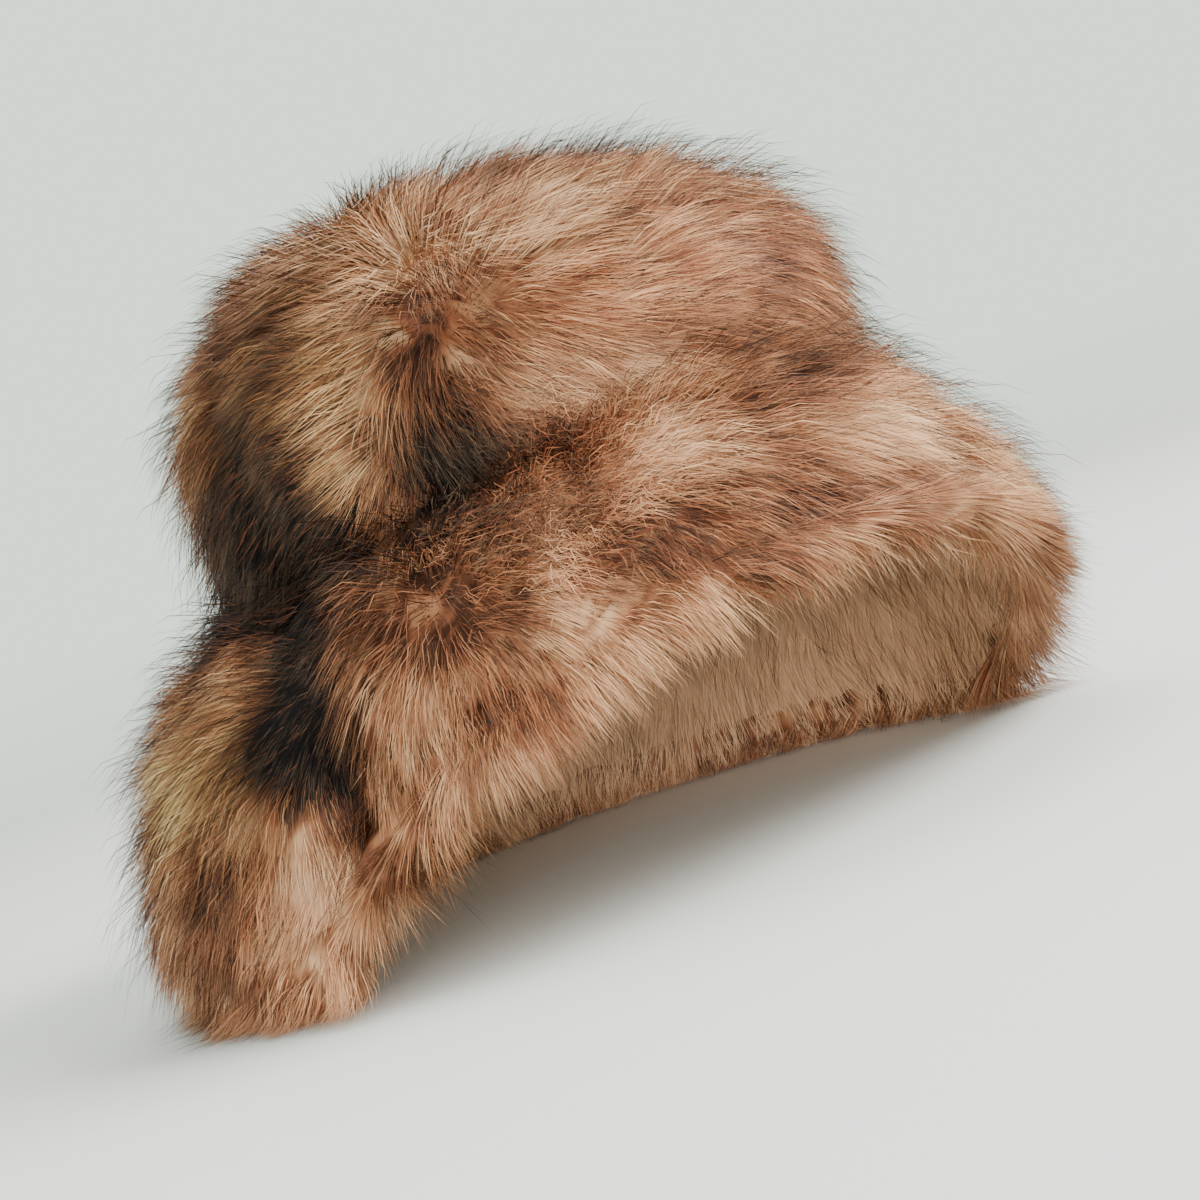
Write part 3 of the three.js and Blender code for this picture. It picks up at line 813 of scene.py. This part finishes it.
def pile_material(name, rustier, lightness):
    """Hair that is dark at the root, mottled tan to rust in patches, with pale or dark tips, and with the
    patches' painted light, painted shade and painted green cast.
    """
    n = Nodes(name)
    along, tone, stray = n.attribute("along"), n.attribute("tone"), n.attribute("stray")
    value = n.around_zero(n.noise(17, 3, 0.6), 1.15)
    value = n.math("ADD", value, n.around_zero(n.noise(70, 2, 0.5, 1.0), 0.40))
    value = n.math("ADD", value, n.around_zero(tone, 0.48))
    value = n.math("ADD", value, n.around_zero(stray, 0.40))
    value = n.math("MAXIMUM", value, DARKEST_MOTTLE)
    value = n.math("ADD", value, n.math("MULTIPLY", n.attribute("light"), PATCH_LIGHT))
    value = n.math("ADD", value, lightness)
    middle = n.ramp(value, ((0.10, DARK), (0.30, BROWN), (0.48, RUST), (0.64, TAN), (0.86, BEIGE)))
    ruddy = n.math("ADD", n.attribute("red"), rustier)
    ruddy = n.math("ADD", ruddy, n.math("SUBTRACT", n.noise(11, 2, 0.5, 3.0), 0.5), clamp=True)
    middle = n.mix(n.math("MULTIPLY", ruddy, RUDDY_SHARE), middle, n.mix(1.0, middle, RUDDY_TINT, "MULTIPLY"))
    # Painted green cast where a patch's red is below 0.
    green_cast = n.math("MULTIPLY", n.attribute("red"), -1.0, clamp=True)
    middle = n.mix(green_cast, middle, n.mix(1.0, middle, GREEN_CAST_TINT, "MULTIPLY"))
    rooted = n.ramp(along, ((0.14, (0, 0, 0)), (0.55, (1, 1, 1))))
    color = n.mix(rooted, n.mix(0.35, DARK, middle), middle)
    tip = n.mix(n.math("GREATER_THAN", stray, PALE_TIPS), n.mix(0.40, middle, BEIGE), n.mix(0.5, BROWN, DARK))
    color = n.mix(n.ramp(along, ((0.70, (0, 0, 0)), (1.0, (0.6, 0.6, 0.6)))), color, tip)
    guard = n.mix(n.ramp(along, ((0.35, (0, 0, 0)), (0.72, (1, 1, 1)))), n.mix(0.5, middle, RUST), DARK)
    color = n.mix(n.attribute("guard"), color, guard)
    n.link(color, n.shader.inputs["Base Color"])
    n.shader.inputs["Roughness"].default_value = 0.55
    n.shader.inputs["Specular IOR Level"].default_value = 0.18
    return n.material


# Stitches of the knitted backing for each metre, and how deep they are. The stitch colours run from painted
# shade in the hollows of the knit to pale on its raised parts.
STITCHES = 900
STITCH_DEPTH = 0.6 * MM
STITCH_HOLLOW_SHADE, STITCH_PALE, STITCH_MIDDLE = srgb(70, 52, 40), srgb(112, 86, 66), srgb(88, 66, 50)


def cloth_material(name):
    n = Nodes(name)
    where = n.add("ShaderNodeTexCoord").outputs["Object"]
    knit = n.add("ShaderNodeTexVoronoi")
    knit.inputs["Scale"].default_value = STITCHES
    n.link(where, knit.inputs["Vector"])
    # Painted shade: the knit is darker in the hollows of its bump.
    shade = n.ramp(knit.outputs["Distance"], ((0.0, STITCH_HOLLOW_SHADE), (0.6, STITCH_PALE)))
    color = n.mix(n.noise(60, 3), shade, STITCH_MIDDLE)
    n.link(color, n.shader.inputs["Base Color"])
    n.shader.inputs["Roughness"].default_value = 0.95
    bump = n.add("ShaderNodeBump")
    bump.inputs["Strength"].default_value = 0.5
    bump.inputs["Distance"].default_value = STITCH_DEPTH
    n.link(knit.outputs["Distance"], bump.inputs["Height"])
    n.link(bump.outputs[0], n.shader.inputs["Normal"])
    return n.material


# How deep the dense fur is on the upper and the under side, how much of that is left at the brim's
# edge, what short patches and the middle of a fan take off, and its lumps with their lengths
UPPER_DEPTH, UNDER_DEPTH = 7.0 * MM, 5.0 * MM
EDGE_DEPTH = 0.5
SHORT_DEPTH_CUT = 0.6
LUMPS, LUMP_LENGTH = 1.3 * MM, 12 * MM
FINE_LUMPS, FINE_LUMP_LENGTH = 0.8 * MM, 5 * MM
LOWEST_DENSE = 1.5 * MM


def point_values(mesh, key):
    """One three-part value of each point of a mesh."""
    values = np.empty(len(mesh.vertices) * 3, np.float32)
    mesh.vertices.foreach_get(key, values)
    return values.reshape(-1, 3).astype(np.float64)


def under_fur(row, faces, material):
    """The dense short fur near the cloth, as a soft lumpy layer."""
    triangles = faces[0]
    first, corner = shared_corners(triangles)
    coarse = bpy.data.meshes.new(row["panel"] + "_layer")
    places = triangles.reshape(-1, 3)[first]
    coarse.from_pydata(places.tolist(), [], corner.reshape(-1, 3).tolist())
    piece = bpy.data.objects.new(row["panel"] + "_under_fur", coarse)
    bpy.context.scene.collection.objects.link(piece)
    finer = piece.modifiers.new("finer", "SUBSURF")
    finer.subdivision_type = "SIMPLE"
    finer.levels = 2
    evaluated = piece.evaluated_get(bpy.context.evaluated_depsgraph_get())
    fine = bpy.data.meshes.new_from_object(evaluated)
    piece.modifiers.clear()
    piece.data = fine
    at, out = point_values(fine, "co"), point_values(fine, "normal")
    short = np.clip(patch_values(row, at)["short"], 0, 1)
    depth = UPPER_DEPTH if row["face"] > 0 else UNDER_DEPTH
    depth = depth * (1 - SHORT_DEPTH_CUT * short) * (EDGE_DEPTH + (1 - EDGE_DEPTH) * edge_share(row, at))
    if row["face"] > 0:
        depth *= 1 - SHORT_DEPTH_CUT * fan_middle(at)
    lumps = LUMPS * smooth_noise(at, LUMP_LENGTH, seed=5)
    lumps += FINE_LUMPS * smooth_noise(at, FINE_LUMP_LENGTH, seed=6)
    at = at + out * (depth + lumps)[:, None]
    at[:, 2] = np.maximum(at[:, 2], LOWEST_DENSE)
    fine.vertices.foreach_set("co", at.astype(np.float32).ravel())
    fine.shade_smooth()
    dense_look(row, fine, at)
    fine.materials.append(material)
    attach(piece, "root")
    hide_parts(row["fur"])


def sort_round(pile, parts):
    """The pile split into parts side by side round the hat."""
    order = np.argsort(angle_of(pile["strands"][:, 0]))
    for share in np.array_split(order, parts):
        yield {key: value[share] for key, value in pile.items()}


def pile_kinds(row, lie):
    """The kinds of hair on a panel: a name, the hairs, their steps, their parts and a guard value."""
    hairs = lie.grow(row["strands"], PILE_STEPS)
    guard_count = int(row["strands"] * GUARD_SHARE)
    guard_hairs = lie.grow(guard_count, GUARD_STEPS, longer=1.10, steeper=0.34, loose=1.5)
    kinds = [
        ("pile", hairs, PILE_STEPS, row["parts"], 0.0),
        ("guard_hair", guard_hairs, GUARD_STEPS, 1, 1.0),
    ]
    if row["face"] > 0:
        curls = lie.grow(int(row["strands"] * CURL_SHARE), CURL_STEPS, longer=0.9, steeper=0.2, loose=2.0,
                         keep=lambda looks: looks["curl"])
        kinds.append(("curls", kinked(curls), CURL_STEPS, 1, 0.0))
    if row["panel"] == "brim_top":
        kinds.append(("fringe", fringe(lie, FRINGE_HAIRS), PILE_STEPS, 1, 0.0))
        guard_fringe = fringe(lie, FRINGE_GUARD_HAIRS, longer=1.35, loose=1.8)
        kinds.append(("fringe_guard_hair", guard_fringe, PILE_STEPS, 1, 1.0))
    return kinds


# A kind with fewer hairs than this on a panel is left off it
FEWEST_HAIRS = 50


def make_piles():
    materials = {
        "tan_pile": pile_material("tan_pile", rustier=TAN_RUST, lightness=TAN_LIGHT),
        "rust_pile": pile_material("rust_pile", rustier=UNDER_RUST, lightness=UNDER_LIGHT_AND_BOUNCE),
    }
    for row in PILES:
        lie = Pile(row)
        material = materials[row["slot"]]
        under_fur(row, lie.faces, material)
        if row["panel"] == "brim_top":
            edge_roll(lie, material)
        for kind, pile, steps, parts, guard in pile_kinds(row, lie):
            if len(pile["strands"]) < FEWEST_HAIRS:
                continue
            pile["strands"] = near_box(above_floor(pile["strands"]))
            for i, share in enumerate(sort_round(pile, parts)):
                name = row["panel"] + "_" + kind + ("_%d" % (i + 1) if parts > 1 else "")
                mesh = ribbon_mesh(name, share, steps, WIDTHS[kind], guard)
                piece = add_object(name, mesh, material)
                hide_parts(row["fur"])


def dress_cloth():
    cloth = cloth_material("backing_cloth")
    for name in ("crown_top_cloth", "crown_side_cloth", "brim_top_cloth", "brim_under_cloth"):
        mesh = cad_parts[name].data
        mesh.materials.clear()
        mesh.materials.append(cloth)


# The stage's colour. It glows softly from the glow height up, as a lit wall does.
STAGE_COLOR = srgb(242, 245, 241)
STAGE_ROUGHNESS = 0.9
SHADE_COLOR = tuple(0.9 * c for c in STAGE_COLOR)
SHADE_SHARE = 0.06
GLOW_HEIGHT = 0.16
GLOW_COLOR = (0.90, 1.0, 0.89)
GLOW_STRENGTH = 1.60


def stage_material():
    n = Nodes("pale_floor")
    tint = n.mix(n.math("MULTIPLY", n.noise(3, 0), SHADE_SHARE), STAGE_COLOR, SHADE_COLOR)
    n.link(tint, n.shader.inputs["Base Color"])
    n.shader.inputs["Roughness"].default_value = STAGE_ROUGHNESS
    n.shader.inputs["Specular IOR Level"].default_value = 0.0
    place = n.add("ShaderNodeSeparateXYZ")
    n.link(n.add("ShaderNodeTexCoord").outputs["Object"], place.inputs[0])
    glow = n.add("ShaderNodeEmission")
    glow.inputs["Color"].default_value = (*GLOW_COLOR, 1)
    glow.inputs["Strength"].default_value = GLOW_STRENGTH
    both = n.add("ShaderNodeMixShader")
    n.link(n.ramp(place.outputs["Z"], ((0.0, (0, 0, 0)), (GLOW_HEIGHT, (1, 1, 1)))), both.inputs[0])
    n.link(n.shader.outputs[0], both.inputs[1])
    n.link(glow.outputs[0], both.inputs[2])
    n.link(both.outputs[0], n.output.inputs["Surface"])
    n.material.cycles.emission_sampling = "NONE"
    return n.material


# The floor's radius to the wall, and the radius of the curve between them
STAGE_RADIUS, STAGE_CURVE = 3.2, 1.5
STAGE_SIDES, STAGE_ARCS = 96, 16


def make_stage():
    """A pale floor that curves up into a low pale wall far behind, the same all round."""
    flat = STAGE_RADIUS - STAGE_CURVE
    profile = [(flat, 0.0)]
    for i in range(1, STAGE_ARCS + 1):
        turn = math.pi / 2 * i / STAGE_ARCS
        profile.append((flat + STAGE_CURVE * math.sin(turn), STAGE_CURVE * (1 - math.cos(turn))))
    turns = [2 * math.pi * k / STAGE_SIDES for k in range(STAGE_SIDES)]
    points = [(0, 0, 0)]
    for r, z in profile:
        points += [(r * math.cos(turn), r * math.sin(turn), z) for turn in turns]
    around = [(k, (k + 1) % STAGE_SIDES) for k in range(STAGE_SIDES)]
    faces = [(0, 1 + k, 1 + after) for k, after in around]
    for ring in range(STAGE_ARCS):
        a, b = 1 + ring * STAGE_SIDES, 1 + (ring + 1) * STAGE_SIDES
        faces += [(a + k, b + k, b + after, a + after) for k, after in around]
    mesh = bpy.data.meshes.new("floor")
    mesh.from_pydata(points, [], faces)
    mesh.shade_smooth()
    floor = bpy.data.objects.new("floor", mesh)
    bpy.context.scene.collection.objects.link(floor)
    mesh.materials.append(stage_material())


def area_light(name, place, target, size, power, color):
    light = bpy.data.lights.new(name, "AREA")
    light.shape = "RECTANGLE"
    light.size, light.size_y = size
    light.energy = power
    light.color = color
    lamp = bpy.data.objects.new(name, light)
    bpy.context.scene.collection.objects.link(lamp)
    toward = Vector(target) - Vector(place)
    lamp.matrix_world = Matrix.Translation(place) @ toward.to_track_quat("-Z", "Y").to_matrix().to_4x4()


# The camera: round the hat from the front, above the floor, turned about its own axis as in the photo
VIEW_ANGLE = -50
VIEW_RISE = 2.5
VIEW_DISTANCE = 0.85
VIEW_TURN = 19
AIM_HEIGHT = 93 * MM
AIM_ASIDE = 9.5 * MM
PHOTO_WIDTH = 1200
PHOTO_PIXELS_PER_MM = 2.75
SENSOR = 36


def view_axes():
    turn, rise = math.radians(VIEW_ANGLE), math.radians(VIEW_RISE)
    back = Vector((math.sin(turn) * math.cos(rise), -math.cos(turn) * math.cos(rise), math.sin(rise)))
    right = Vector((0, 0, 1)).cross(back).normalized()
    return right, back.cross(right), back


def make_camera():
    right, up, back = view_axes()
    aim = Vector((MOUTH[0], MOUTH[1], AIM_HEIGHT)) + right * AIM_ASIDE
    camera = bpy.data.cameras.new("camera")
    camera.sensor_width = SENSOR
    camera.lens = SENSOR * PHOTO_PIXELS_PER_MM * VIEW_DISTANCE / MM / PHOTO_WIDTH
    camera.clip_start = 0.01
    view = bpy.data.objects.new("camera", camera)
    bpy.context.scene.collection.objects.link(view)
    frame_of_view = Matrix((right, up, back)).transposed().to_4x4()
    turned = frame_of_view @ Matrix.Rotation(math.radians(-VIEW_TURN), 4, "Z")
    view.matrix_world = Matrix.Translation(aim + back * VIEW_DISTANCE) @ turned
    bpy.context.scene.camera = view


# The studio lights round the point that they shine at, in metres to the right of the view, back
# towards the camera, and up, with their sizes in metres, powers in watts and colours
LIT_POINT = Vector((0, 0, 0.13))
LIGHTS = (
    dict(name="key", right=1.6, back=0.6, up=1.3, size=(1.3, 1.3), power=80, color=(1.0, 0.985, 0.96)),
    dict(name="fill", right=-0.2, back=1.7, up=-0.02, size=(1.2, 0.2), power=26, color=(1.0, 0.97, 0.96)),
    dict(name="top", right=0, back=-0.4, up=1.9, size=(2.0, 2.0), power=24, color=(1.0, 1.0, 1.0)),
)
SKY_COLOR = (0.91, 0.97, 0.93)
SKY_STRENGTH = 0.71


def make_lights():
    right, _, back = view_axes()
    for row in LIGHTS:
        place = LIT_POINT + right * row["right"] + back * row["back"] + Vector((0, 0, row["up"]))
        area_light(row["name"], place, LIT_POINT, row["size"], row["power"], row["color"])
    world = bpy.data.worlds.new("studio")
    world.use_nodes = True
    sky = world.node_tree.nodes["Background"]
    sky.inputs["Color"].default_value = (*SKY_COLOR, 1)
    sky.inputs["Strength"].default_value = SKY_STRENGTH
    world.cycles.sampling_method = "NONE"
    bpy.context.scene.world = world


make_camera()
make_piles()
dress_cloth()
make_stage()
make_lights()
